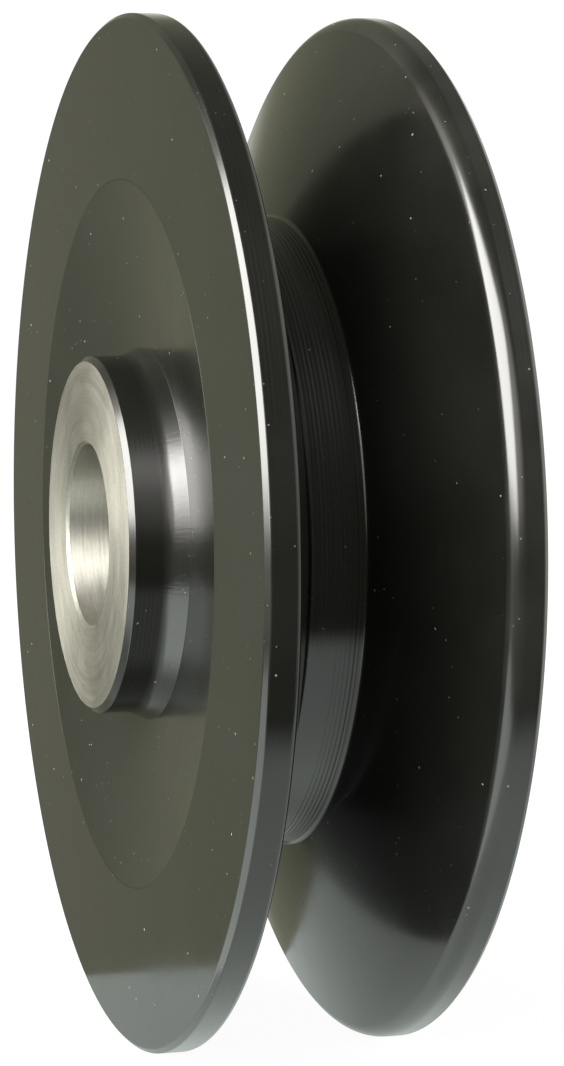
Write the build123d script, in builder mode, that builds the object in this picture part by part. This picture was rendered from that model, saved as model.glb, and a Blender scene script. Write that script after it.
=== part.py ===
from build123d import *
import math
import os

# Belt tensioner idler: a turned steel V pulley that runs on two ball bearings round a fixed hub sleeve.
# The sleeve's boss and dished shield are at the front, and its tail stands on the bracket at the rear.
#
# Frame: the origin is on the spin axis at the middle of the belt groove, +Y runs along the axis from
# the front to the rear, and +Z is up. Sizes are in millimetres.

os.makedirs("parts", exist_ok=True)

# Driving dimensions: pulley
OUTER_D = 85.0
GROOVE_DEPTH = 16.4
GROOVE_ROOT_W = 4.7
GROOVE_ANGLE = 38.0  # between the two groove walls
RIM_LAND_W = 2.65  # width of each flange at its rim
RIM_CHAMFER = 0.4
FRONT_GROOVE_EDGE_R = 0.5
REAR_GROOVE_EDGE_R = 1.8
ROOT_FILLET_R = 0.4
HUB_WALL = 4.5  # wall outside the bearing pocket, behind the rear flange
REAR_DISH_W = 10.0  # radial width of the dish round the rear hub
HUB_CHAMFER = 0.5
POCKET_CHAMFER = 0.6
LIP_H = 1.8  # height of the lip that stops the front outer ring
LIP_W = 1.0

# Driving dimensions: hub sleeve and collar
BORE_D = 15.0
BORE_CHAMFER = 0.25
BOSS_D = 29.4
BOSS_PROUD = 2.75  # from the front flange face to the boss's end face
BOSS_CHAMFER = 0.45
NECK_LENGTH = 1.5  # of the cone that joins the boss to the dish
NECK_FLARE = 0.7
NECK_FILLET_R = 0.35
REAR_NECK_FILLET_R = 1.6
SHIELD_D = 58.2
SHIELD_W = 3.0  # at its rim
SHIELD_BACK_CHAMFER = 0.4
DISH_ANGLE = 8.0
SHOULDER_H = 1.8  # height of the shoulders that clamp the inner rings, above the seat
SHOULDER_FILLET_R = 0.3
TAIL_CHAMFER = 0.5
TAIL_PROUD = 1.0  # from the rotating hub's end to the rear clamp face

# Driving dimensions: ball bearings, both the same
BEARING_BORE_D = 20.0
BEARING_OD = 37.0
BEARING_W = 9.0
BALL_D = 4.762
BALL_COUNT = 11
RACE_CONFORMITY = 0.52  # race radius over ball diameter
RACE_DEPTH = 0.66  # how far each race is cut below its ring's land
RING_CHAMFER = 0.3
SEAL_STEP_W = 1.3  # from the ring's end to its land
SEAL_STEP_H = 0.5  # step of the inner ring under the seal lip
SEAL_SEAT_H = 1.2  # depth of the seal's seat in the outer ring
SEAL_MOUTH_H = 0.8
SEAL_BEAD_W = 0.7
SEAL_BEAD_H = 0.6
SEAL_WEB_W = 0.65
SEAL_INSET = 0.3  # from the bearing's face to the seal's face
CAGE_BASE_W = 0.42  # web behind each ball, at the cage's closed side
CAGE_CLAW_REACH = 1.5  # from the ball centres to the cage's open side

# Driving dimensions: rear dust shield and retaining ring
DUST_SHIELD_W = 0.7
DUST_SHIELD_CHAMFER = 0.15
RING_W = 1.5
RING_GROOVE_H = 1.0
RING_GROOVE_LAND = 1.25  # from the ring's groove to the hub's end
RING_BACK_H = 3.4  # radial width opposite the gap
RING_TIP_H = 2.0  # radial width beside the lugs
RING_LUG_R = 2.4
RING_LUG_ANGLE = 14.0
RING_LUG_HOLE_R = 1.15
RING_GAP = 4.0

# Clearances
SHIELD_GAP = 0.05  # running gap round the shield
FACE_GAP = 0.3  # axial gap between turning and fixed faces
BALL_GAP = 0.03
POCKET_GAP = 0.1  # ball to cage
CAGE_GAP = 0.5  # cage to ring lands
SEAL_LIP_GAP = 0.05
DUST_GAP = 0.5
RING_GROOVE_GAP = 0.1
SPRING_RING_GAP = 0.05

# Radii
rim_r = OUTER_D / 2
root_r = rim_r - GROOVE_DEPTH
bore_r = BORE_D / 2
boss_r = BOSS_D / 2
shield_r = SHIELD_D / 2
recess_r = shield_r + SHIELD_GAP
seat_r = BEARING_BORE_D / 2
shoulder_r = seat_r + SHOULDER_H
pocket_r = BEARING_OD / 2
lip_r = pocket_r - LIP_H
hub_r = pocket_r + HUB_WALL
rear_dish_r = hub_r + REAR_DISH_W
ring_groove_r = pocket_r + RING_GROOVE_H

# Stations along the axis, from front to rear
groove_top_w = GROOVE_ROOT_W + 2 * GROOVE_DEPTH * math.tan(math.radians(GROOVE_ANGLE / 2))
pulley_w = groove_top_w + 2 * RIM_LAND_W
front_y = -pulley_w / 2
rear_y = pulley_w / 2
boss_end_y = front_y - BOSS_PROUD
dish_slope = math.tan(math.radians(DISH_ANGLE))
neck_r = boss_r + NECK_FLARE
dish_root_y = front_y + (shield_r - neck_r) * dish_slope
shield_back_y = front_y + SHIELD_W
recess_floor_y = shield_back_y + FACE_GAP
bearing_start_y = recess_floor_y + LIP_W
bearing_end_y = bearing_start_y + 2 * BEARING_W
ring_start_y = bearing_end_y + DUST_SHIELD_W
ring_groove_end_y = ring_start_y + RING_W + RING_GROOVE_GAP
hub_end_y = ring_groove_end_y + RING_GROOVE_LAND
tail_y = hub_end_y + TAIL_PROUD
rear_dish_root_y = rear_y - REAR_DISH_W * dish_slope

# Bearing sizes that both bearings share
ball_r = BALL_D / 2
pitch_r = (seat_r + pocket_r) / 2
race_r = RACE_CONFORMITY * BALL_D
inner_race_r = pitch_r - ball_r - BALL_GAP
outer_race_r = pitch_r + ball_r + BALL_GAP
inner_land_r = inner_race_r + RACE_DEPTH
outer_land_r = outer_race_r - RACE_DEPTH
inner_step_r = inner_land_r - SEAL_STEP_H
seal_seat_r = outer_land_r + SEAL_SEAT_H
seal_mouth_r = outer_land_r + SEAL_MOUTH_H
half_w = BEARING_W / 2
land_y = half_w - SEAL_STEP_W
cage_base_reach = ball_r + POCKET_GAP + CAGE_BASE_W


def turned_section(corners):
    """Return a closed half-section from (radius, y, corner radius) points, to be turned round the Y axis."""
    with BuildSketch(Plane.XY) as section:
        with BuildLine():
            points = [(r, y) for r, y, _ in corners]
            FilletPolyline(points, radius=[corner_r for _, _, corner_r in corners], close=True)
        make_face()
    return section.sketch


# Pulley body: two flanges, the belt groove, the recess for the shield, and the bearing pocket
with BuildPart() as pulley_body:
    revolve(
        turned_section(
            [
                (recess_r, front_y, 0),
                (rim_r - RIM_CHAMFER, front_y, 0),
                (rim_r, front_y + RIM_CHAMFER, 0),
                (rim_r, -groove_top_w / 2, FRONT_GROOVE_EDGE_R),
                (root_r, -GROOVE_ROOT_W / 2, ROOT_FILLET_R),
                (root_r, GROOVE_ROOT_W / 2, ROOT_FILLET_R),
                (rim_r, groove_top_w / 2, REAR_GROOVE_EDGE_R),
                (rim_r, rear_y - RIM_CHAMFER, 0),
                (rim_r - RIM_CHAMFER, rear_y, 0),
                (rear_dish_r, rear_y, 0),
                (hub_r, rear_dish_root_y, REAR_NECK_FILLET_R),
                (hub_r, hub_end_y - HUB_CHAMFER, 0),
                (hub_r - HUB_CHAMFER, hub_end_y, 0),
                (pocket_r + POCKET_CHAMFER, hub_end_y, 0),
                (pocket_r, hub_end_y - POCKET_CHAMFER, 0),
                (pocket_r, ring_groove_end_y, 0),
                (ring_groove_r, ring_groove_end_y, 0),
                (ring_groove_r, ring_start_y, 0),
                (pocket_r, ring_start_y, 0),
                (pocket_r, bearing_start_y, 0),
                (lip_r, bearing_start_y, 0),
                (lip_r, recess_floor_y, 0),
                (recess_r, recess_floor_y, 0),
            ]
        ),
        axis=Axis.Y,
    )
pulley_body.part.label = "pulley_body"
export_step(pulley_body.part, "parts/pulley_body.step")

# Hub sleeve: boss, dished shield, shoulder for the front bearing, bearing seat and tail
with BuildPart() as hub_sleeve:
    revolve(
        turned_section(
            [
                (bore_r, boss_end_y + BORE_CHAMFER, 0),
                (bore_r + BORE_CHAMFER, boss_end_y, 0),
                (boss_r - BOSS_CHAMFER, boss_end_y, 0),
                (boss_r, boss_end_y + BOSS_CHAMFER, 0),
                (boss_r, dish_root_y - NECK_LENGTH, 0),
                (neck_r, dish_root_y, NECK_FILLET_R),
                (shield_r, front_y, 0),
                (shield_r, shield_back_y - SHIELD_BACK_CHAMFER, 0),
                (shield_r - SHIELD_BACK_CHAMFER, shield_back_y, 0),
                (shoulder_r, shield_back_y, SHOULDER_FILLET_R),
                (shoulder_r, bearing_start_y, 0),
                (seat_r, bearing_start_y, 0),
                (seat_r, tail_y - TAIL_CHAMFER, 0),
                (seat_r - TAIL_CHAMFER, tail_y, 0),
                (bore_r + BORE_CHAMFER, tail_y, 0),
                (bore_r, tail_y - BORE_CHAMFER, 0),
            ]
        ),
        axis=Axis.Y,
    )
hub_sleeve.part.label = "hub_sleeve"
export_step(hub_sleeve.part, "parts/hub_sleeve.step")

# Rear collar: pressed on the sleeve's tail, it clamps the inner rings against the front shoulder
with BuildPart() as rear_collar:
    revolve(
        turned_section(
            [
                (seat_r, bearing_end_y, 0),
                (shoulder_r, bearing_end_y, 0),
                (shoulder_r, tail_y - TAIL_CHAMFER, 0),
                (shoulder_r - TAIL_CHAMFER, tail_y, 0),
                (seat_r + TAIL_CHAMFER, tail_y, 0),
                (seat_r, tail_y - TAIL_CHAMFER, 0),
            ]
        ),
        axis=Axis.Y,
    )
rear_collar.part.label = "rear_collar"
export_step(rear_collar.part, "parts/rear_collar.step")

# Rear dust shield: a thin ring between the rear outer ring and the retaining ring
dust_inner_r = max(shoulder_r, inner_step_r) + DUST_GAP
dust_outer_r = pocket_r - SPRING_RING_GAP
with BuildPart() as rear_dust_shield:
    revolve(
        turned_section(
            [
                (dust_inner_r, bearing_end_y, 0),
                (dust_outer_r, bearing_end_y, 0),
                (dust_outer_r, ring_start_y - DUST_SHIELD_CHAMFER, 0),
                (dust_outer_r - DUST_SHIELD_CHAMFER, ring_start_y, 0),
                (dust_inner_r + DUST_SHIELD_CHAMFER, ring_start_y, 0),
                (dust_inner_r, ring_start_y - DUST_SHIELD_CHAMFER, 0),
            ]
        ),
        axis=Axis.Y,
    )
rear_dust_shield.part.label = "rear_dust_shield"
export_step(rear_dust_shield.part, "parts/rear_dust_shield.step")

# Retaining ring: an open spring ring, thickest opposite its gap, with a plier hole in each lug
ring_outer_r = ring_groove_r - SPRING_RING_GAP
ring_inner_r = ring_outer_r - (RING_BACK_H + RING_TIP_H) / 2
ring_shift = (RING_BACK_H - RING_TIP_H) / 2
lug_r = ring_outer_r - RING_LUG_R
lug_angle = math.radians(RING_LUG_ANGLE)
lugs = [(side * lug_r * math.sin(lug_angle), lug_r * math.cos(lug_angle)) for side in (-1, 1)]
with BuildPart() as retaining_ring:
    with BuildSketch(Plane.XZ.offset(-ring_start_y)):
        Circle(ring_outer_r)
        with Locations((0, ring_shift)):
            Circle(ring_inner_r, mode=Mode.SUBTRACT)
        with Locations(*lugs):
            Circle(RING_LUG_R)
            Circle(RING_LUG_HOLE_R, mode=Mode.SUBTRACT)
        with Locations((0, ring_outer_r)):
            Rectangle(RING_GAP, 4 * RING_LUG_R, mode=Mode.SUBTRACT)
    extrude(amount=-RING_W)
retaining_ring.part.label = "retaining_ring"
export_step(retaining_ring.part, "parts/retaining_ring.step")

# Ball bearings: each has two rings, a crown cage, its balls and a seal on each side
for row, row_name in enumerate(("front", "rear")):
    mid_y = bearing_start_y + (row + 0.5) * BEARING_W
    outward = 2 * row - 1  # the cage's closed side faces the nearer end of the pulley

    with BuildPart() as inner_ring:
        revolve(
            turned_section(
                [
                    (seat_r + RING_CHAMFER, mid_y - half_w, 0),
                    (inner_step_r, mid_y - half_w, 0),
                    (inner_step_r, mid_y - land_y, 0),
                    (inner_land_r, mid_y - land_y, 0),
                    (inner_land_r, mid_y + land_y, 0),
                    (inner_step_r, mid_y + land_y, 0),
                    (inner_step_r, mid_y + half_w, 0),
                    (seat_r + RING_CHAMFER, mid_y + half_w, 0),
                    (seat_r, mid_y + half_w - RING_CHAMFER, 0),
                    (seat_r, mid_y - half_w + RING_CHAMFER, 0),
                ]
            ),
            axis=Axis.Y,
        )
        with BuildSketch(Plane.XY):
            with Locations((inner_race_r + race_r, mid_y)):
                Circle(race_r)
        revolve(axis=Axis.Y, mode=Mode.SUBTRACT)
    inner_ring.part.label = f"{row_name}_inner_ring"
    export_step(inner_ring.part, f"parts/{row_name}_inner_ring.step")

    with BuildPart() as outer_ring:
        revolve(
            turned_section(
                [
                    (pocket_r - RING_CHAMFER, mid_y - half_w, 0),
                    (pocket_r, mid_y - half_w + RING_CHAMFER, 0),
                    (pocket_r, mid_y + half_w - RING_CHAMFER, 0),
                    (pocket_r - RING_CHAMFER, mid_y + half_w, 0),
                    (seal_mouth_r, mid_y + half_w, 0),
                    (seal_mouth_r, mid_y + land_y + SEAL_BEAD_W, 0),
                    (seal_seat_r, mid_y + land_y + SEAL_BEAD_W, 0),
                    (seal_seat_r, mid_y + land_y, 0),
                    (outer_land_r, mid_y + land_y, 0),
                    (outer_land_r, mid_y - land_y, 0),
                    (seal_seat_r, mid_y - land_y, 0),
                    (seal_seat_r, mid_y - land_y - SEAL_BEAD_W, 0),
                    (seal_mouth_r, mid_y - land_y - SEAL_BEAD_W, 0),
                    (seal_mouth_r, mid_y - half_w, 0),
                ]
            ),
            axis=Axis.Y,
        )
        with BuildSketch(Plane.XY):
            with Locations((outer_race_r - race_r, mid_y)):
                Circle(race_r)
        revolve(axis=Axis.Y, mode=Mode.SUBTRACT)
    outer_ring.part.label = f"{row_name}_outer_ring"
    export_step(outer_ring.part, f"parts/{row_name}_outer_ring.step")

    cage_ends = sorted((mid_y + outward * cage_base_reach, mid_y - outward * CAGE_CLAW_REACH))
    with BuildPart() as cage:
        revolve(
            turned_section(
                [
                    (inner_land_r + CAGE_GAP, cage_ends[0], 0),
                    (outer_land_r - CAGE_GAP, cage_ends[0], 0),
                    (outer_land_r - CAGE_GAP, cage_ends[1], 0),
                    (inner_land_r + CAGE_GAP, cage_ends[1], 0),
                ]
            ),
            axis=Axis.Y,
        )
        with Locations(Plane.XZ.offset(-mid_y)):
            with PolarLocations(pitch_r, BALL_COUNT):
                Sphere(ball_r + POCKET_GAP, mode=Mode.SUBTRACT)
    cage.part.label = f"{row_name}_cage"
    export_step(cage.part, f"parts/{row_name}_cage.step")

    for count in range(BALL_COUNT):
        turn = 2 * math.pi * count / BALL_COUNT
        with BuildPart() as ball:
            with Locations((pitch_r * math.cos(turn), mid_y, pitch_r * math.sin(turn))):
                Sphere(ball_r)
        ball.part.label = f"{row_name}_ball_{count + 1:02d}"
        export_step(ball.part, f"parts/{row_name}_ball_{count + 1:02d}.step")

    for side, side_name in ((-1, "front"), (1, "rear")):
        seal_y = mid_y + side * land_y  # inner side of the bead
        seal_face_y = mid_y + side * (half_w - SEAL_INSET)
        lip_tip_r = inner_step_r + SEAL_LIP_GAP
        with BuildPart() as seal:
            revolve(
                turned_section(
                    [
                        (seal_seat_r, seal_y, 0),
                        (seal_seat_r, seal_y + side * SEAL_BEAD_W, 0),
                        (seal_mouth_r, seal_y + side * SEAL_BEAD_W, 0),
                        (seal_mouth_r - SEAL_INSET, seal_face_y, 0),
                        (lip_tip_r + SEAL_BEAD_H, seal_face_y, 0),
                        (lip_tip_r, seal_y + side * SEAL_BEAD_W, 0),
                        (lip_tip_r, seal_y + side * SEAL_INSET, 0),
                        (lip_tip_r + SEAL_BEAD_H, seal_face_y - side * SEAL_WEB_W, 0),
                        (seal_seat_r - SEAL_BEAD_H, seal_face_y - side * SEAL_WEB_W, 0),
                        (seal_seat_r - SEAL_BEAD_H, seal_y, 0),
                    ]
                ),
                axis=Axis.Y,
            )
        seal.part.label = f"{row_name}_bearing_{side_name}_seal"
        export_step(seal.part, f"parts/{row_name}_bearing_{side_name}_seal.step")
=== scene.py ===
"""Belt tensioner idler: the looks of its pieces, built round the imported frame.

The origin is on the spin axis at the middle of the belt groove. +Y runs along the axis from the
front to the rear, and +Z is up. The classes hold their sizes in millimetres, and every mesh is
made in metres.
"""

import logging
import math
from dataclasses import dataclass
from enum import Enum

import bpy
import numpy as np
from mathutils import Matrix, Vector


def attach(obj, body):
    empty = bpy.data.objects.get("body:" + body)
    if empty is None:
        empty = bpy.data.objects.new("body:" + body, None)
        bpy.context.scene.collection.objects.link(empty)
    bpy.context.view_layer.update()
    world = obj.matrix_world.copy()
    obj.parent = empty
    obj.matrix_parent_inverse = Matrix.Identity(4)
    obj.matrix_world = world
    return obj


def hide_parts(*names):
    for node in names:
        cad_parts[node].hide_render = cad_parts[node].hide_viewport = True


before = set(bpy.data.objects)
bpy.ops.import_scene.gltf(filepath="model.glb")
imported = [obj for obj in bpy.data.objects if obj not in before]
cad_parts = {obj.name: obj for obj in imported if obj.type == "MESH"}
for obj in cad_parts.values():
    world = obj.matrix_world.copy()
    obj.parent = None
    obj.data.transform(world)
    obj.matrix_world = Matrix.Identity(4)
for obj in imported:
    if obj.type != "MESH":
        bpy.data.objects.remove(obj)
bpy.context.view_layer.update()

MM = 0.001
WHITE = (1.0, 1.0, 1.0, 1.0)
RGB = tuple[float, float, float]
Socket = bpy.types.NodeSocket
log = logging.getLogger("idler")


class Zone(Enum):
    """The finish that a turned face takes: the value is its material index."""

    COATED = 0
    BARE = 1
    NECK = 2
    # EDGE: a lighter coat on the chamfers, edge roundings and rear rim land, as a painted highlight on the
    # edges and painted light on the rear rim land.
    EDGE = 3
    BORE = 4
    DISH = 5


class Marks(Enum):
    """The tool marks left on a turned face."""

    NONE = "none"
    FINE = "faint feed rings"
    FEED = "feed rings"
    SCORED = "feed rings with deeper scored lines"


class Body(Enum):
    """The moving bodies of the idler, by their names in the frame."""

    HUB = "fixed_hub"
    PULLEY = "turning_pulley"


@dataclass(frozen=True)
class Corner:
    """A corner of a closed outline, and the face that runs from it to the next corner.

    Sizes are in millimetres: radius, station along the axis, and rounding of the corner. The
    rounding shares the finishes of its two faces unless it has its own.
    """

    r: float
    y: float
    rounding: float = 0.06
    zone: Zone = Zone.COATED
    marks: Marks = Marks.NONE
    edge: Zone | None = None


@dataclass(frozen=True)
class Feed:
    """The fine rings that a turning tool leaves as it feeds along a face, in millimetres."""

    pitch: float = 0.36
    depth: float = 0.006
    spread: float = 0.6
    steps: int = 6
    fine_share: float = 0.5
    start_share: float = 0.3
    first_score: float = 0.4
    score_depth: float = 0.010
    score_width: float = 0.05
    score_spacing: float = 0.8
    score_width_span: tuple[float, float] = (0.6, 1.6)
    score_depth_span: tuple[float, float] = (0.2, 1.0)
    run_out: float = 0.12

    def cut(self, along: np.ndarray, marks: Marks, draw: np.random.Generator) -> np.ndarray:
        """Work out how deep the tool cut at each distance along a face.

        Args:
            along: Distances from the start of the face.
            marks: The kind of marks on the face.
            draw: The source of the rings' variation.

        Returns:
            The depth below the face at each distance.
        """
        rings = int(along[-1] / self.pitch) + 3
        heights = self.depth * (1 + self.spread * draw.uniform(-1, 1, rings))
        places = along / self.pitch + self.start_share * draw.uniform()
        index = places.astype(int)
        depth = heights[index] * (0.5 - 0.5 * np.cos(2 * math.pi * places))
        if marks is Marks.FINE:
            depth *= self.fine_share
        if marks is Marks.SCORED:
            for centre in np.arange(self.first_score, along[-1], self.score_spacing):
                centre += 0.5 * self.score_spacing * draw.uniform(-1, 1)
                reach = self.score_width * draw.uniform(*self.score_width_span)
                deepest = self.score_depth * draw.uniform(*self.score_depth_span)
                depth += deepest * np.exp(-(((along - centre) / reach) ** 2))
        return depth


@dataclass(frozen=True)
class Lathe:
    """Turns a closed outline round the Y axis, with the true surface's normals."""

    segments: int = 320
    arc_step_deg: float = 9.0
    least_arc_steps: int = 3
    face_share: float = 0.48
    seed: int = 11
    feed: Feed = Feed()

    def trace(self, corners: list[Corner]) -> tuple[np.ndarray, np.ndarray, list[Zone]]:
        """Walk round the outline, rounding its corners and cutting its tool marks.

        Args:
            corners: The outline, anticlockwise with the radius to the right and +Y up.

        Returns:
            The points (radius, station), their outward normals, and the zone of each point's
            face onward.
        """
        draw = np.random.default_rng(self.seed)
        spots = [np.array((c.r, c.y)) for c in corners]
        points: list[np.ndarray] = []
        normals: list[np.ndarray] = []
        zones: list[Zone] = []
        count = len(corners)
        ends = [
            self.arc(spots[i - 1], spots[i], spots[(i + 1) % count], corners[i].rounding)
            for i in range(count)
        ]
        for i, corner in enumerate(corners):
            arc_points, arc_normals = ends[i]
            before = corners[i - 1].zone
            for k, (p, n) in enumerate(zip(arc_points, arc_normals)):
                points.append(p)
                normals.append(n)
                shared = before if k < len(arc_points) // 2 else corner.zone
                last = k == len(arc_points) - 1
                zones.append(shared if corner.edge is None or last else corner.edge)
            start, stop = arc_points[-1], ends[(i + 1) % count][0][0]
            if corner.marks is not Marks.NONE:
                face_points, face_normals = self.marked_face(start, stop, corner.marks, draw)
                points.extend(face_points)
                normals.extend(face_normals)
                zones.extend([corner.zone] * len(face_points))
        return np.array(points), np.array(normals), zones

    def arc(
        self, before: np.ndarray, spot: np.ndarray, after: np.ndarray, rounding: float
    ) -> tuple[list[np.ndarray], list[np.ndarray]]:
        """Round one corner.

        Args:
            before: The corner before it.
            spot: The corner.
            after: The corner after it.
            rounding: The radius of the rounding.

        Returns:
            The arc's points and their outward normals.
        """
        into = (spot - before) / np.linalg.norm(spot - before)
        out = (after - spot) / np.linalg.norm(after - spot)
        turn = math.atan2(into[0] * out[1] - into[1] * out[0], float(into @ out))
        room = self.face_share * min(np.linalg.norm(spot - before), np.linalg.norm(after - spot))
        reach = min(rounding * math.tan(abs(turn) / 2), room)
        radius = reach / math.tan(abs(turn) / 2)
        start = spot - into * reach
        side = math.copysign(1, turn)
        centre = start + side * radius * np.array((-into[1], into[0]))
        steps = max(self.least_arc_steps, int(abs(math.degrees(turn)) / self.arc_step_deg) + 1)
        outward = np.array((into[1], -into[0]))
        found_points, found_normals = [], []
        for angle in np.linspace(0, turn, steps + 1):
            c, s = math.cos(angle), math.sin(angle)
            normal = np.array((c * outward[0] - s * outward[1], s * outward[0] + c * outward[1]))
            found_points.append(centre + side * radius * normal)
            found_normals.append(normal)
        return found_points, found_normals

    def marked_face(
        self, start: np.ndarray, stop: np.ndarray, marks: Marks, draw: np.random.Generator
    ) -> tuple[list[np.ndarray], list[np.ndarray]]:
        """Cut tool marks into a straight face, and only ever below it.

        Args:
            start: The face's first point.
            stop: The face's last point.
            marks: The kind of marks.
            draw: The source of their variation.

        Returns:
            The points between start and stop, and their outward normals.
        """
        length = float(np.linalg.norm(stop - start))
        along_way = (stop - start) / length
        outward = np.array((along_way[1], -along_way[0]))
        rows = int(length / self.feed.pitch * self.feed.steps)
        along = np.linspace(0, length, rows + 2)
        fade = np.clip(np.minimum(along, length - along) / self.feed.run_out, 0, 1)
        depth = self.feed.cut(along, marks, draw) * fade
        slope = np.gradient(depth, along)
        found_points, found_normals = [], []
        for s, d, g in zip(along[1:-1], depth[1:-1], slope[1:-1]):
            normal = outward + g * along_way
            found_points.append(start + s * along_way - d * outward)
            found_normals.append(normal / np.linalg.norm(normal))
        return found_points, found_normals

    def turn(self, name: str, corners: list[Corner], finishes: list[bpy.types.Material]) -> bpy.types.Object:
        """Turn an outline into a closed piece.

        Args:
            name: The piece's name.
            corners: Its outline.
            finishes: A material for each zone.

        Returns:
            The piece, in metres.
        """
        points, normals, zones = self.trace(corners)
        rows, columns = len(points), self.segments
        angles = np.linspace(0, 2 * math.pi, columns, endpoint=False)
        sweep = np.stack((np.cos(angles), np.ones(columns), np.sin(angles)), 1)
        lifted = np.stack((points[:, 0], points[:, 1], points[:, 0]), 1)
        facing = np.stack((normals[:, 0], normals[:, 1], normals[:, 0]), 1)
        vertices = (lifted[:, None, :] * sweep[None, :, :]).reshape(-1, 3) * MM
        vertex_normals = (facing[:, None, :] * sweep[None, :, :]).reshape(-1, 3)
        i, j = np.meshgrid(np.arange(rows), np.arange(columns), indexing="ij")
        i2, j2 = (i + 1) % rows, (j + 1) % columns
        faces = np.stack((i * columns + j, i2 * columns + j, i2 * columns + j2, i * columns + j2), -1)
        mesh = bpy.data.meshes.new(name)
        mesh.from_pydata(vertices.tolist(), [], faces.reshape(-1, 4).tolist())
        for finish in finishes:
            mesh.materials.append(finish)
        index = np.repeat([zone.value for zone in zones], columns)
        mesh.polygons.foreach_set("material_index", index.astype(np.int32))
        mesh.polygons.foreach_set("use_smooth", np.ones(rows * columns, bool))
        mesh.normals_split_custom_set_from_vertices(vertex_normals.tolist())
        mesh.update()
        piece = bpy.data.objects.new(name, mesh)
        bpy.context.scene.collection.objects.link(piece)
        return piece


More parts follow.
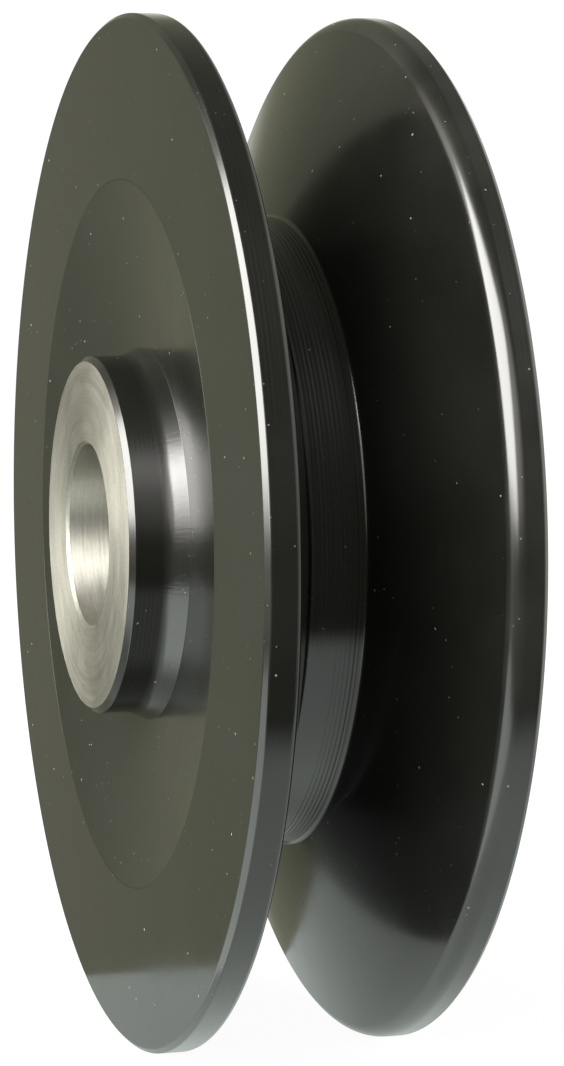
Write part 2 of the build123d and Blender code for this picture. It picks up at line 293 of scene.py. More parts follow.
class Bench:
    """Lays out the nodes of a material or of the world."""

    def __init__(self, tree: bpy.types.NodeTree) -> None:
        """Start with an empty tree.

        Args:
            tree: The node tree to fill.
        """
        self.tree = tree
        tree.nodes.clear()

    def node(self, kind: str, inputs: dict | None = None, **settings: object) -> bpy.types.Node:
        """Add a node.

        Args:
            kind: The node's type.
            inputs: A value or a socket for each named or numbered input.
            settings: The node's own settings.

        Returns:
            The node.
        """
        made = self.tree.nodes.new(kind)
        for key, value in settings.items():
            setattr(made, key, value)
        for key, value in (inputs or {}).items():
            if isinstance(value, Socket):
                self.tree.links.new(value, made.inputs[key])
            else:
                made.inputs[key].default_value = value
        return made

    def math(self, operation: str, *values: float | Socket, clamp: bool = False) -> Socket:
        """Return the result of a sum on numbers."""
        made = self.node("ShaderNodeMath", dict(enumerate(values)), operation=operation, use_clamp=clamp)
        return made.outputs[0]

    def vector(self, operation: str, inputs: dict, output: int = 0) -> Socket:
        """Return the result of a sum on vectors."""
        return self.node("ShaderNodeVectorMath", inputs, operation=operation).outputs[output]

    def band(
        self, value: Socket, low: float, high: float, to_low: float = 0.0, to_high: float = 1.0
    ) -> Socket:
        """Ease a value from one range to another, and hold it outside.

        Args:
            value: The value.
            low: Where the easing starts.
            high: Where it ends.
            to_low: The result at low and below.
            to_high: The result at high and above.

        Returns:
            The eased value.
        """
        inputs = {"Value": value, "From Min": low, "From Max": high, "To Min": to_low, "To Max": to_high}
        made = self.node("ShaderNodeMapRange", inputs, interpolation_type="SMOOTHSTEP")
        return made.outputs["Result"]

    def blend(self, share: float | Socket, first: RGB | Socket, second: RGB | Socket) -> Socket:
        """Blend two colours.

        Args:
            share: The second colour's share, 0 to 1.
            first: The first colour.
            second: The second colour.

        Returns:
            The blended colour.
        """
        colours = [c if isinstance(c, Socket) else (*c, 1.0) for c in (first, second)]
        inputs = {"Factor": share, 6: colours[0], 7: colours[1]}
        return self.node("ShaderNodeMix", inputs, data_type="RGBA").outputs[2]

    def noise(self, where: Socket, scale: float, detail: float = 2.0, rough: float = 0.5) -> Socket:
        """Return soft noise, about 0 to 1, with so many features a millimetre."""
        inputs = {"Vector": where, "Scale": scale, "Detail": detail, "Roughness": rough}
        return self.node("ShaderNodeTexNoise", inputs).outputs["Fac"]

    def place(self) -> Socket:
        """Return the point on the piece, in millimetres."""
        spot = self.node("ShaderNodeTexCoord").outputs["Object"]
        return self.vector("SCALE", {0: spot, "Scale": 1 / MM})

    def turned_lines(self, per_mm: float, round_about: float, detail: float = 2.0) -> Socket:
        """Return noise in rings round the Y axis.

        Args:
            per_mm: How many lines there are to a millimetre.
            round_about: How fast each line changes on its way round.
            detail: The noise's detail.

        Returns:
            The noise, about 0 to 1.
        """
        parts = self.node("ShaderNodeSeparateXYZ", {0: self.place()}).outputs
        flat = self.node("ShaderNodeCombineXYZ", {"X": parts["X"], "Y": parts["Z"]}).outputs[0]
        radius = self.vector("LENGTH", {0: flat}, 1)
        way = self.node("ShaderNodeSeparateXYZ", {0: self.vector("NORMALIZE", {0: flat})}).outputs
        spot = self.node(
            "ShaderNodeCombineXYZ",
            {
                "X": self.math("MULTIPLY", radius, per_mm),
                "Y": self.math("MULTIPLY", parts["Y"], per_mm),
                "Z": self.math("MULTIPLY", way["X"], round_about),
            },
        ).outputs[0]
        inputs = {
            "Vector": spot,
            "W": self.math("MULTIPLY", way["Y"], round_about),
            "Scale": 1.0,
            "Detail": detail,
        }
        return self.node("ShaderNodeTexNoise", inputs, noise_dimensions="4D").outputs["Fac"]

    def chatter(self, round_about: float, along_per_mm: float) -> Socket:
        """Return noise in short dashes that lie across a turned face.

        Args:
            round_about: How many dashes there are to a radian.
            along_per_mm: How fast they change along the face.

        Returns:
            The noise, about 0 to 1.
        """
        parts = self.node("ShaderNodeSeparateXYZ", {0: self.place()}).outputs
        flat = self.node("ShaderNodeCombineXYZ", {"X": parts["X"], "Y": parts["Z"]}).outputs[0]
        way = self.vector("SCALE", {0: self.vector("NORMALIZE", {0: flat}), "Scale": round_about})
        lift = self.math("MULTIPLY", parts["Y"], along_per_mm)
        spot = self.vector("ADD", {0: way, 1: self.node("ShaderNodeCombineXYZ", {"Z": lift}).outputs[0]})
        return self.noise(spot, 1.0, 2.0)

    def specks(self, cell: float, radius: float) -> Socket:
        """Return 1 on small specks, and 0 elsewhere.

        Args:
            cell: The mean distance between the specks' seeds, in millimetres.
            radius: The radius of the largest speck, in millimetres.

        Returns:
            The mask.
        """
        wobble = self.noise(self.place(), 3.0)
        inputs = {"Vector": self.place(), "Scale": 1 / cell, "Randomness": 1.0}
        near = self.node("ShaderNodeTexVoronoi", inputs).outputs["Distance"]
        reach = self.math("MULTIPLY", wobble, 2 * radius / cell)
        edge = self.math("SUBTRACT", reach, near)
        return self.math("MULTIPLY", edge, 3 * cell / radius, clamp=True)

    def relief(self, height: Socket, under: Socket | None = None) -> Socket:
        """Lay a relief on the surface.

        Args:
            height: The relief's height, in millimetres.
            under: The normal of a relief under this one.

        Returns:
            The surface normal.
        """
        inputs = {"Height": height, "Distance": MM, "Strength": 1.0}
        if under is not None:
            inputs["Normal"] = under
        return self.node("ShaderNodeBump", inputs).outputs["Normal"]

    def surface(self, inputs: dict) -> None:
        """End the tree in a principled surface."""
        shader = self.node("ShaderNodeBsdfPrincipled", inputs)
        self.node("ShaderNodeOutputMaterial", {"Surface": shader.outputs[0]})


@dataclass(frozen=True)
class Finish:
    """A finish of the idler's metal, plastic or rubber."""

    name: str

    def bench(self) -> tuple[bpy.types.Material, Bench]:
        """Return a new material and the bench for its nodes."""
        material = bpy.data.materials.new(self.name)
        material.use_nodes = True
        return material, Bench(material.node_tree)


@dataclass(frozen=True)
class BlackCoat(Finish):
    """Satin black coating over turned steel, with dust on it. Heights are in millimetres."""

    name: str = "black_coat"
    colour: RGB = (0.0034, 0.0035, 0.0029)
    patch_colour: RGB = (0.0046, 0.0047, 0.0040)
    smudge: RGB = (0.0070, 0.0071, 0.0062)
    dust: RGB = (0.20, 0.197, 0.177)
    roughness: float = 0.15
    ior: float = 1.52
    line_height: float = 0.00045
    peel_height: float = 0.0009
    chatter_height: float = 0.0
    dust_height: float = 0.02
    dust_cell: float = 2.0
    dust_radius: float = 0.1

    def make(self) -> bpy.types.Material:
        """Return the coating's material."""
        material, bench = self.bench()
        cloud = bench.noise(bench.place(), 0.07, 3.0, 0.6)
        lines = bench.turned_lines(6.0, 1.2)
        specks, all_dust = self.dusting(bench)
        tone = bench.blend(bench.band(cloud, 0.35, 0.7), self.colour, self.patch_colour)
        colour = bench.blend(all_dust, bench.blend(self.wiping(bench), tone, self.smudge), self.dust)
        patchy = bench.math("ADD", cloud, bench.math("MULTIPLY", lines, 0.3))
        worn = bench.math("ADD", bench.band(patchy, 0.45, 0.85, -0.02, 0.06), self.roughness)
        rough = bench.math("ADD", worn, bench.math("MULTIPLY", all_dust, 0.5))
        dusty = bench.math("MULTIPLY", specks, self.dust_height)
        normal = bench.relief(dusty, bench.relief(self.texture(bench, lines)))
        bench.surface({"Base Color": colour, "Roughness": rough, "IOR": self.ior, "Normal": normal})
        return material

    def dusting(self, bench: Bench) -> tuple[Socket, Socket]:
        """Scatter coarse and fine dust.

        Args:
            bench: The material's bench.

        Returns:
            The mask of the coarse specks, and the share of dust of both kinds.
        """
        specks = bench.specks(self.dust_cell, self.dust_radius)
        fine_specks = bench.specks(self.dust_cell * 0.55, self.dust_radius * 0.6)
        thickness = bench.band(bench.noise(bench.place(), 0.8), 0.35, 0.70, 0.12, 1.0)
        both = bench.math("MAXIMUM", specks, bench.math("MULTIPLY", fine_specks, 0.5))
        return specks, bench.math("MULTIPLY", both, thickness)

    def wiping(self, bench: Bench) -> Socket:
        """Return the mask of the faint smudges where the coating was wiped."""
        stretched = bench.vector("MULTIPLY", {0: bench.place(), 1: (0.3, 0.3, 0.2)})
        return bench.band(bench.noise(stretched, 1.0, 5.0, 0.65), 0.60, 0.90)

    def texture(self, bench: Bench, lines: Socket) -> Socket:
        """Lay out the coating's fine relief.

        Args:
            bench: The material's bench.
            lines: The noise of the turned lines under the coating.

        Returns:
            The relief's height.
        """
        peel = bench.noise(bench.place(), 1.4, 2.0)
        height = bench.math(
            "ADD",
            bench.math("MULTIPLY", lines, self.line_height),
            bench.math("MULTIPLY", peel, self.peel_height),
        )
        if self.chatter_height > 0:
            dashes = bench.math("MULTIPLY", bench.chatter(60.0, 0.9), self.chatter_height)
            height = bench.math("ADD", height, dashes)
        return height


@dataclass(frozen=True)
class TurnedMetal(Finish):
    """Bare or plated metal with rings from turning or grinding. Heights are in millimetres."""

    name: str = "ground_steel"
    colour: RGB = (0.285, 0.280, 0.248)
    shade: RGB = (0.215, 0.210, 0.183)
    stain: RGB = (0.14, 0.13, 0.105)
    roughness: float = 0.55
    anisotropy: float = 0.42
    lines_per_mm: float = 9.0
    line_height: float = 0.0004
    stain_share: float = 0.10

    def make(self) -> bpy.types.Material:
        """Return the metal's material."""
        material, bench = self.bench()
        lines = bench.turned_lines(self.lines_per_mm, 1.5, 3.0)
        broad = bench.turned_lines(self.lines_per_mm / 5, 2.5)
        cloud = bench.noise(bench.place(), 0.25, 4.0, 0.6)
        pits = bench.noise(bench.place(), 6.0, 2.0)
        grain = bench.noise(bench.place(), 3.5, 4.0, 0.75)
        mixed = bench.math("ADD", bench.math("MULTIPLY", lines, 0.45), bench.math("MULTIPLY", grain, 0.55))
        tone = bench.blend(bench.band(mixed, 0.36, 0.64), self.shade, self.colour)
        dull = bench.math("MULTIPLY", bench.band(cloud, 0.5, 0.8), self.stain_share)
        stained = bench.blend(dull, tone, self.stain)
        rough = bench.math(
            "ADD",
            bench.band(broad, 0.3, 0.7, -0.03, 0.04),
            bench.band(cloud, 0.3, 0.8, self.roughness - 0.02, self.roughness + 0.07),
        )
        height = bench.math(
            "ADD",
            bench.math("MULTIPLY", lines, self.line_height),
            bench.math("MULTIPLY", pits, self.line_height * 0.5),
        )
        tangent = bench.node("ShaderNodeTangent", direction_type="RADIAL", axis="Y").outputs[0]
        bench.surface(
            {
                "Base Color": stained,
                "Metallic": 1.0,
                "Roughness": rough,
                "Anisotropic": self.anisotropy,
                "Anisotropic Rotation": 0.25,
                "Tangent": tangent,
                "Normal": bench.relief(height),
            }
        )
        return material


@dataclass(frozen=True)
class BallSteel(Finish):
    """Polished steel of the balls, under a thin film of grease."""

    name: str = "ball_steel"
    colour: RGB = (0.62, 0.62, 0.61)
    grease: RGB = (0.48, 0.42, 0.30)

    def make(self) -> bpy.types.Material:
        """Return the balls' material."""
        material, bench = self.bench()
        smear = bench.noise(bench.place(), 0.6, 4.0, 0.6)
        colour = bench.blend(bench.band(smear, 0.5, 0.8), self.colour, self.grease)
        rough = bench.band(smear, 0.4, 0.8, 0.04, 0.22)
        normal = bench.relief(bench.math("MULTIPLY", smear, 0.002))
        bench.surface({"Base Color": colour, "Metallic": 1.0, "Roughness": rough, "Normal": normal})
        return material


@dataclass(frozen=True)
class Moulded(Finish):
    """Moulded plastic or rubber with a fine matt grain. Heights are in millimetres."""

    name: str = "seal_rubber"
    colour: RGB = (0.016, 0.0155, 0.015)
    shade: RGB = (0.008, 0.008, 0.008)
    roughness: float = 0.55
    grain_per_mm: float = 5.0
    grain_height: float = 0.006
    ring_height: float = 0.004

    def make(self) -> bpy.types.Material:
        """Return the moulding's material."""
        material, bench = self.bench()
        grain = bench.noise(bench.place(), self.grain_per_mm, 3.0, 0.6)
        cloud = bench.noise(bench.place(), 0.3, 3.0)
        rings = bench.turned_lines(2.0, 0.6)
        colour = bench.blend(bench.band(cloud, 0.3, 0.7), self.shade, self.colour)
        rough = bench.band(grain, 0.3, 0.7, self.roughness - 0.08, self.roughness + 0.1)
        height = bench.math(
            "ADD",
            bench.math("MULTIPLY", grain, self.grain_height),
            bench.math("MULTIPLY", rings, self.ring_height),
        )
        bench.surface({"Base Color": colour, "Roughness": rough, "IOR": 1.5, "Normal": bench.relief(height)})
        return material


@dataclass(frozen=True)
class PulleyBody:
    """The turned V pulley: two flanges, the belt groove, the shield's recess and the bearing pocket."""

    rim_r: float = 42.5
    groove_depth: float = 16.4
    root_w: float = 4.7
    groove_angle_deg: float = 38.0
    rim_land_w: float = 2.65
    rim_chamfer: float = 0.4
    front_groove_edge_r: float = 0.5
    rear_groove_edge_r: float = 1.8
    root_fillet_r: float = 0.4
    recess_r: float = 29.14
    recess_depth: float = 3.3
    lip_r: float = 16.7
    lip_w: float = 1.0
    pocket_r: float = 18.5
    hub_r: float = 23.0
    rear_dish_r: float = 33.0
    dish_angle_deg: float = 8.0
    neck_r: float = 1.6
    hub_chamfer: float = 0.5
    pocket_chamfer: float = 0.6
    ring_groove_r: float = 19.5
    ring_groove_start: float = 12.353
    ring_groove_end: float = 13.953
    hub_end: float = 15.203

    @property
    def groove_top_w(self) -> float:
        """The belt groove's width at the rim."""
        return self.root_w + 2 * self.groove_depth * math.tan(math.radians(self.groove_angle_deg / 2))

    @property
    def rear_y(self) -> float:
        """The rear flange's face: the front flange's face is as far to the front."""
        return self.groove_top_w / 2 + self.rim_land_w

    def outline(self) -> list[Corner]:
        """Return the pulley's half-section."""
        front, rear, top = -self.rear_y, self.rear_y, self.groove_top_w / 2
        root_r, edge = self.rim_r - self.groove_depth, self.rim_r - self.rim_chamfer
        dish_root = rear - (self.rear_dish_r - self.hub_r) * math.tan(math.radians(self.dish_angle_deg))
        floor = front + self.recess_depth
        start = floor + self.lip_w
        # The EDGE zone's lighter coat is a painted highlight on the rim chamfers and edge roundings, and
        # painted light over the rear rim land.
        bare, worn, neck = Zone.BARE, Zone.EDGE, Zone.NECK
        return [
            Corner(self.recess_r, front, 0.015),
            Corner(edge, front, 0.22, worn, edge=worn),
            Corner(self.rim_r, front + self.rim_chamfer, 0.22, marks=Marks.FINE, edge=worn),
            Corner(self.rim_r, -top, self.front_groove_edge_r),
            Corner(root_r, -self.root_w / 2, self.root_fillet_r, marks=Marks.SCORED),
            Corner(root_r, self.root_w / 2, self.root_fillet_r),
            Corner(self.rim_r, top, self.rear_groove_edge_r, worn, Marks.FINE, worn),
            Corner(self.rim_r, rear - self.rim_chamfer, 0.22, worn),
            Corner(edge, rear, 0.22, edge=worn),
            Corner(self.rear_dish_r, rear, 0.2),
            Corner(self.hub_r, dish_root, self.neck_r, marks=Marks.FEED, edge=neck),
            Corner(self.hub_r, self.hub_end - self.hub_chamfer, 0.08),
            Corner(self.hub_r - self.hub_chamfer, self.hub_end, 0.08, bare, Marks.FEED),
            Corner(self.pocket_r + self.pocket_chamfer, self.hub_end, 0.08, bare),
            Corner(self.pocket_r, self.hub_end - self.pocket_chamfer, 0.06, bare),
            Corner(self.pocket_r, self.ring_groove_end, 0.05, bare),
            Corner(self.ring_groove_r, self.ring_groove_end, 0.05, bare),
            Corner(self.ring_groove_r, self.ring_groove_start, 0.05, bare),
            Corner(self.pocket_r, self.ring_groove_start, 0.05, bare),
            Corner(self.pocket_r, start, 0.05, bare),
            Corner(self.lip_r, start, 0.05),
            Corner(self.lip_r, floor, 0.05),
            Corner(self.recess_r, floor, 0.1),
        ]

    def build(self, lathe: Lathe, finishes: list[bpy.types.Material]) -> bpy.types.Object:
        """Turn the pulley and put it in place of its CAD node.

        Args:
            lathe: The lathe that turns it.
            finishes: A material for each zone.

        Returns:
            The piece.
        """
        piece = lathe.turn("turned_pulley", self.outline(), finishes)
        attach(piece, Body.PULLEY.value)
        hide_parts("pulley_body")
        return piece


@dataclass(frozen=True)
class HubSleeve:
    """The fixed hub: boss, dished shield, shoulder for the front bearing, bearing seat and tail."""

    boss_end: float = -13.397
    front_y: float = -10.647
    bore_r: float = 7.5
    bore_chamfer: float = 0.25
    boss_r: float = 14.7
    boss_chamfer: float = 0.45
    neck_length: float = 1.5
    neck_flare: float = 0.7
    neck_fillet_r: float = 0.05
    neck_ease_r: float = 2.2
    dish_angle_deg: float = 8.0
    shield_r: float = 29.12
    shield_w: float = 3.0
    shield_chamfer: float = 0.4
    shoulder_r: float = 11.8
    shoulder_fillet_r: float = 0.3
    seat_r: float = 10.0
    seat_start: float = -6.347
    tail_end: float = 16.203
    tail_chamfer: float = 0.5

    def outline(self) -> list[Corner]:
        """Return the sleeve's half-section."""
        slope = math.tan(math.radians(self.dish_angle_deg))
        neck_r = self.boss_r + self.neck_flare
        dish_root = self.front_y + (self.shield_r - neck_r) * slope
        back = self.front_y + self.shield_w
        bare, bored = Zone.BARE, Zone.BORE
        return [
            Corner(self.bore_r, self.boss_end + self.bore_chamfer, 0.06, bare),
            Corner(self.bore_r + self.bore_chamfer, self.boss_end, 0.06, bare, Marks.FINE),
            # The boss chamfer takes the lighter EDGE coat, a painted highlight.
            Corner(self.boss_r - self.boss_chamfer, self.boss_end, 0.12, Zone.EDGE),
            Corner(self.boss_r, self.boss_end + self.boss_chamfer, 0.12, marks=Marks.FINE),
            Corner(self.boss_r, dish_root - self.neck_length, self.neck_ease_r, Zone.NECK, edge=Zone.NECK),
            Corner(neck_r, dish_root, self.neck_fillet_r, Zone.DISH, edge=Zone.NECK),
            Corner(self.shield_r, self.front_y, 0.015, edge=Zone.DISH),
            Corner(self.shield_r, back - self.shield_chamfer, 0.06),
            Corner(self.shield_r - self.shield_chamfer, back, 0.06),
            Corner(self.shoulder_r, back, self.shoulder_fillet_r),
            Corner(self.shoulder_r, self.seat_start, 0.06, bare),
            Corner(self.seat_r, self.seat_start, 0.04, bare),
            Corner(self.seat_r, self.tail_end - self.tail_chamfer, 0.06, bare),
            Corner(self.seat_r - self.tail_chamfer, self.tail_end, 0.06, bare),
            Corner(self.bore_r + self.bore_chamfer, self.tail_end, 0.06, bare),
            Corner(self.bore_r, self.tail_end - self.bore_chamfer, 0.06, bored, Marks.FINE),
        ]

    def build(self, lathe: Lathe, finishes: list[bpy.types.Material]) -> bpy.types.Object:
        """Turn the sleeve and put it in place of its CAD node.

        Args:
            lathe: The lathe that turns it.
            finishes: A material for each zone.

        Returns:
            The piece.
        """
        piece = lathe.turn("turned_hub_sleeve", self.outline(), finishes)
        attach(piece, Body.HUB.value)
        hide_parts("hub_sleeve")
        return piece


@dataclass(frozen=True)
class DressedNodes:
    """CAD nodes that keep their shapes and take a finish, by a part of their names."""

    finishes: dict[str, bpy.types.Material]

    def build(self) -> list[bpy.types.Object]:
        """Give every remaining node the finish that its name asks for.

        Returns:
            The nodes dressed.
        """
        dressed = []
        for name, node in sorted(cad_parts.items()):
            found = [finish for part, finish in self.finishes.items() if part in name]
            if not found or node.hide_render:
                continue
            node.data.materials.clear()
            node.data.materials.append(found[0])
            dressed.append(node)
        return dressed


@dataclass(frozen=True)
class Card:
    """A lit card that shows in reflections only. Sizes and places are in metres."""

    name: str
    place: Matrix
    half_w: float
    half_h: float
    light: RGB
    strength: float
    side_strength: float = 0.15
    side_full: float = 0.65
    end_share: float = 0.3
    end_full: float = 0.7

    def spot(self, bench: Bench) -> bpy.types.NodeOutputs:
        """Return the point on the card, as three numbers in metres."""
        place = bench.node("ShaderNodeTexCoord").outputs["Object"]
        return bench.node("ShaderNodeSeparateXYZ", {0: place}).outputs

    def glow(self, bench: Bench) -> Socket:
        """Ease the card's light off towards its edges.

        Args:
            bench: The material's bench.

        Returns:
            The light's strength.
        """
        spot = self.spot(bench)
        across, along = (bench.math("ABSOLUTE", spot[axis]) for axis in "XY")
        w, h = self.half_w, self.half_h
        wide = bench.band(across, self.side_full * w, w, self.strength, self.side_strength)
        return bench.math("MULTIPLY", wide, bench.band(along, self.end_full * h, h, 1.0, self.end_share))

    def build(self) -> bpy.types.Object:
        """Return the card, hidden from the camera."""
        w, h = self.half_w, self.half_h
        mesh = bpy.data.meshes.new(self.name)
        mesh.from_pydata([(-w, -h, 0), (w, -h, 0), (w, h, 0), (-w, h, 0)], [], [(0, 1, 2, 3)])
        material = bpy.data.materials.new(self.name)
        material.use_nodes = True
        bench = Bench(material.node_tree)
        lit = bench.node("ShaderNodeEmission", {"Color": (*self.light, 1.0), "Strength": self.glow(bench)})
        bench.node("ShaderNodeOutputMaterial", {"Surface": lit.outputs[0]})
        mesh.materials.append(material)
        card = bpy.data.objects.new(self.name, mesh)
        card.matrix_world = self.place
        bpy.context.scene.collection.objects.link(card)
        card.visible_camera = False
        card.visible_shadow = False
        return card


@dataclass(frozen=True)
class TableCard(Card):
    """A lit part of the table top: dimmer on the left, and eased off on the right."""

    dim: float = 0.68
    dim_until: float = -0.030
    full_from: float = -0.012
    fade_from: float = 0.034
    fade_to: float = 0.055
    faded_share: float = 0.06

    def glow(self, bench: Bench) -> Socket:
        """Let the table's light grow to the right and then end.

        Args:
            bench: The material's bench.

        Returns:
            The light's strength.
        """
        across = self.spot(bench)["X"]
        grown = bench.band(across, self.dim_until, self.full_from, self.dim, self.strength)
        kept = bench.band(across, self.fade_from, self.fade_to, 1.0, self.faded_share)
        return bench.math("MULTIPLY", grown, kept)


@dataclass(frozen=True)
class Glow:
    """A soft patch of light on the studio's walls, by bearing and height in degrees."""

    bearing: float
    height: float
    reach: float
    light: RGB

    def way(self) -> tuple[float, float, float]:
        """Return the direction of its middle."""
        b, h = math.radians(self.bearing), math.radians(self.height)
        return (math.sin(b) * math.cos(h), -math.cos(b) * math.cos(h), math.sin(h))


@dataclass(frozen=True)
class Studio:
    """Pale floor, white backdrop and soft light."""

    floor_z: float = -42.5
    room: RGB = (0.12, 0.125, 0.098)
    glows: tuple[Glow, ...] = (
        Glow(-76, -5, 75, (0.155, 0.160, 0.104)),
        Glow(62, 30, 32, (3.0, 2.9, 2.7)),
        Glow(0, 26, 42, (1.6, 1.55, 1.45)),
        Glow(-26, 22, 26, (2.0, 1.95, 1.8)),
        Glow(180, 5, 75, (1.2, 1.2, 1.15)),
        Glow(150, 35, 34, (0.6, 0.6, 0.57)),
        Glow(-113, 0, 24, (0.9, 0.9, 0.84)),
        Glow(0, -90, 62, (0.8, 0.84, 0.76)),
    )
    box_bearing: float = 20.0
    box_height: float = 28.0
    box_distance: float = 0.9
    box_half_w: float = 0.66
    box_half_h: float = 0.42
    box_light: RGB = (1.0, 0.985, 0.95)
    box_strength: float = 20.0
    table_x: float = 0.033
    table_half_w: float = 0.057
    table_from_y: float = -0.1265
    table_split_y: float = -0.0185
    table_to_y: float = 0.0961
    table_drop: float = 0.0001
    floor_half_w: float = 2.9
    floor_shade: RGB = (0.08, 0.08, 0.08)
    floor_strength: float = 0.96
    dome_r: float = 3.0
    dome_strength: float = 1.05

    def build(self) -> None:
        """Set the floor, the backdrop, the cards and the walls' light."""
        self.floor()
        self.backdrop()
        way = Vector(Glow(self.box_bearing, self.box_height, 0, self.room).way())
        turned = way.to_track_quat("Z", "Y").to_matrix().to_4x4()
        place = Matrix.Translation(way * self.box_distance) @ turned
        Card("soft_box", place, self.box_half_w, self.box_half_h, self.box_light, self.box_strength).build()
        w = self.table_half_w
        middle, half = self.table_part(self.table_split_y, self.table_to_y)
        TableCard("table_card", middle, w, half, (0.98, 1.07, 1.0), 1.35).build()
        middle, half = self.table_part(self.table_from_y, self.table_split_y)
        TableCard("near_table_card", middle, w, half, (0.98, 1.06, 1.01), 2.9, dim=0.73).build()
        self.walls()
        bpy.context.scene.view_settings.view_transform = "Standard"

    def table_part(self, start_y: float, end_y: float) -> tuple[Matrix, float]:
        """Place a part of the lit table top, just under the floor.

        Args:
            start_y: The part's edge on the front side.
            end_y: Its edge on the rear side.

        Returns:
            The place of its middle, and half its length along Y.
        """
        z = self.floor_z * MM - self.table_drop
        return Matrix.Translation((self.table_x, (start_y + end_y) / 2, z)), (end_y - start_y) / 2

    def floor(self) -> None:
        """Lay the pale floor that the rims stand on."""
        mesh = bpy.data.meshes.new("floor")
        z, w = self.floor_z * MM, self.floor_half_w
        mesh.from_pydata([(-w, -w, z), (w, -w, z), (w, w, z), (-w, w, z)], [], [(0, 1, 2, 3)])
        material = bpy.data.materials.new("pale_floor")
        material.use_nodes = True
        bench = Bench(material.node_tree)
        matt = bench.node("ShaderNodeBsdfDiffuse", {"Color": (*self.floor_shade, 1.0)})
        lit = bench.node("ShaderNodeEmission", {"Color": WHITE, "Strength": self.floor_strength})
        both = bench.node("ShaderNodeAddShader", {0: matt.outputs[0], 1: lit.outputs[0]})
        bench.node("ShaderNodeOutputMaterial", {"Surface": both.outputs[0]})
        mesh.materials.append(material)
        floor = bpy.data.objects.new("floor", mesh)
        bpy.context.scene.collection.objects.link(floor)
        floor.visible_glossy = False

    def backdrop(self) -> None:
        """Hang the white backdrop, which only the camera sees."""
        bpy.ops.mesh.primitive_uv_sphere_add(segments=48, ring_count=24, radius=self.dome_r)
        dome = bpy.context.object
        dome.name = "backdrop"
        material = bpy.data.materials.new("backdrop")
        material.use_nodes = True
        bench = Bench(material.node_tree)
        lit = bench.node("ShaderNodeEmission", {"Color": WHITE, "Strength": self.dome_strength})
        bench.node("ShaderNodeOutputMaterial", {"Surface": lit.outputs[0]})
        dome.data.materials.append(material)
        for flag in ("diffuse", "glossy", "transmission", "volume_scatter", "shadow"):
            setattr(dome, f"visible_{flag}", False)

    def walls(self) -> None:
        """Light the room round the object with soft glows."""
        world = bpy.data.worlds.new("studio")
        world.use_nodes = True
        bpy.context.scene.world = world
        bench = Bench(world.node_tree)
        way = bench.node("ShaderNodeTexCoord").outputs["Generated"]
        total: Socket | None = None
        for glow in self.glows:
            facing = bench.vector("DOT_PRODUCT", {0: way, 1: glow.way()}, 1)
            share = bench.band(facing, math.cos(math.radians(glow.reach)), 1.0)
            lit = bench.vector("SCALE", {0: glow.light, "Scale": share})
            total = bench.vector("ADD", {0: total or self.room, 1: lit})
        background = bench.node("ShaderNodeBackground", {"Color": total, "Strength": 1.0})
        bench.node("ShaderNodeOutputWorld", {"Surface": background.outputs[0]})


@dataclass(frozen=True)
class Camera:
    """The camera that shows the idler from the front and the right."""

    eye: tuple[float, float, float] = (251.03, -72.50, 22.85)
    azimuth_deg: float = 73.18
    elevation_deg: float = 5.04
    lens: float = 105.97
    sensor: float = 36.0

    def build(self) -> bpy.types.Object:
        """Return the scene's camera."""
        a, e = math.radians(self.azimuth_deg), math.radians(self.elevation_deg)
        ahead = Vector((-math.sin(a) * math.cos(e), math.cos(a) * math.cos(e), -math.sin(e)))
        data = bpy.data.cameras.new("camera")
        data.lens, data.sensor_width = self.lens, self.sensor
        data.clip_start, data.clip_end = 0.01, 20.0
        camera = bpy.data.objects.new("camera", data)
        camera.location = Vector(self.eye) * MM
        camera.rotation_euler = ahead.to_track_quat("-Z", "Y").to_euler()
        bpy.context.scene.collection.objects.link(camera)
        bpy.context.scene.camera = camera
        return camera


def zone_finishes(ground: bpy.types.Material) -> list[bpy.types.Material]:
    """Make the finishes of a turned piece's zones.

    Args:
        ground: The material of the bare zone.

    Returns:
        A material for each zone, in the zones' order.
    """
    neck = BlackCoat(
        "black_coat_neck", roughness=0.20, line_height=0.0010, chatter_height=0.008, ior=1.62
    )
    # The edge coat is lighter than the main coat in both its colours: a painted highlight on chamfers and
    # edge roundings, and painted light on the rear rim land.
    edge = BlackCoat(
        "black_coat_edge",
        colour=(0.0045, 0.0046, 0.0040),
        patch_colour=(0.009, 0.0092, 0.0080),
        roughness=0.17,
    )
    bore = TurnedMetal(
        "ground_bore",
        colour=(0.40, 0.39, 0.35),
        shade=(0.34, 0.33, 0.295),
        roughness=0.48,
        anisotropy=0.75,
        lines_per_mm=18.0,
        line_height=0.0003,
    )
    dish = BlackCoat("black_coat_dish", roughness=0.19)
    finishes = {
        Zone.COATED: BlackCoat().make(),
        Zone.BARE: ground,
        Zone.NECK: neck.make(),
        Zone.EDGE: edge.make(),
        Zone.BORE: bore.make(),
        Zone.DISH: dish.make(),
    }
    return [finishes[zone] for zone in sorted(Zone, key=lambda zone: zone.value)]


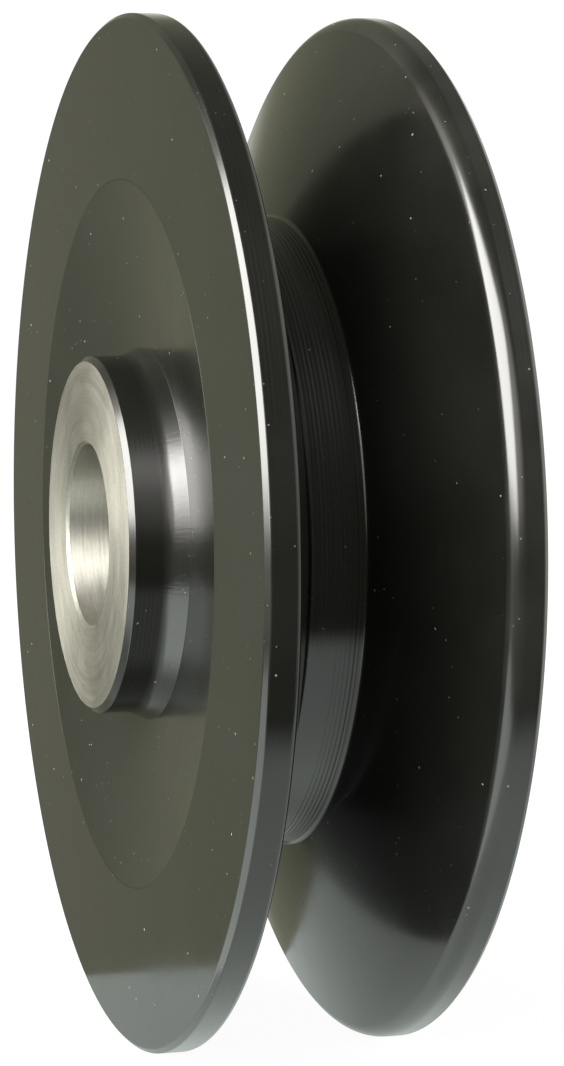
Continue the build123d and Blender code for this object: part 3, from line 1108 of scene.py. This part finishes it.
def node_finishes(ground: bpy.types.Material) -> dict[str, bpy.types.Material]:
    """Make the finishes of the nodes that keep their shapes.

    Args:
        ground: The ground steel's material.

    Returns:
        The materials, by the part of a node's name that asks for each.
    """
    zinc = TurnedMetal(
        "zinc_plate",
        colour=(0.40, 0.41, 0.42),
        shade=(0.32, 0.325, 0.33),
        stain=(0.28, 0.25, 0.18),
        roughness=0.30,
        anisotropy=0.2,
        lines_per_mm=3.0,
        line_height=0.002,
        stain_share=0.35,
    )
    spring = TurnedMetal(
        "spring_steel",
        colour=(0.13, 0.12, 0.11),
        shade=(0.07, 0.065, 0.06),
        stain=(0.10, 0.07, 0.05),
        roughness=0.40,
        anisotropy=0.0,
        lines_per_mm=2.0,
        line_height=0.003,
        stain_share=0.4,
    )
    bearing = TurnedMetal(
        "bearing_steel",
        colour=(0.42, 0.42, 0.42),
        shade=(0.34, 0.34, 0.34),
        stain=(0.28, 0.25, 0.21),
        roughness=0.20,
        anisotropy=0.5,
        lines_per_mm=12.0,
        line_height=0.0006,
        stain_share=0.2,
    ).make()
    cage = Moulded(
        "cage_polyamide",
        colour=(0.52, 0.46, 0.33),
        shade=(0.42, 0.37, 0.26),
        roughness=0.45,
        grain_per_mm=4.0,
        grain_height=0.004,
        ring_height=0.0,
    )
    return {
        "collar": ground,
        "dust_shield": zinc.make(),
        "retaining_ring": spring.make(),
        "inner_ring": bearing,
        "outer_ring": bearing,
        "cage": cage.make(),
        "ball": BallSteel().make(),
        "seal": Moulded().make(),
    }


def main() -> None:
    """Build the idler's pieces, dress them, and set the studio and the camera."""
    logging.basicConfig(level=logging.INFO, format="%(message)s")
    ground = TurnedMetal().make()
    zones = zone_finishes(ground)
    lathe = Lathe()
    for piece in (PulleyBody().build(lathe, zones), HubSleeve().build(lathe, zones)):
        log.info("%s: %d vertices", piece.name, len(piece.data.vertices))
    for node in DressedNodes(node_finishes(ground)).build():
        log.info("%s: %s", node.name, node.data.materials[0].name)
    Studio().build()
    Camera().build()


if __name__ == "__main__":
    main()
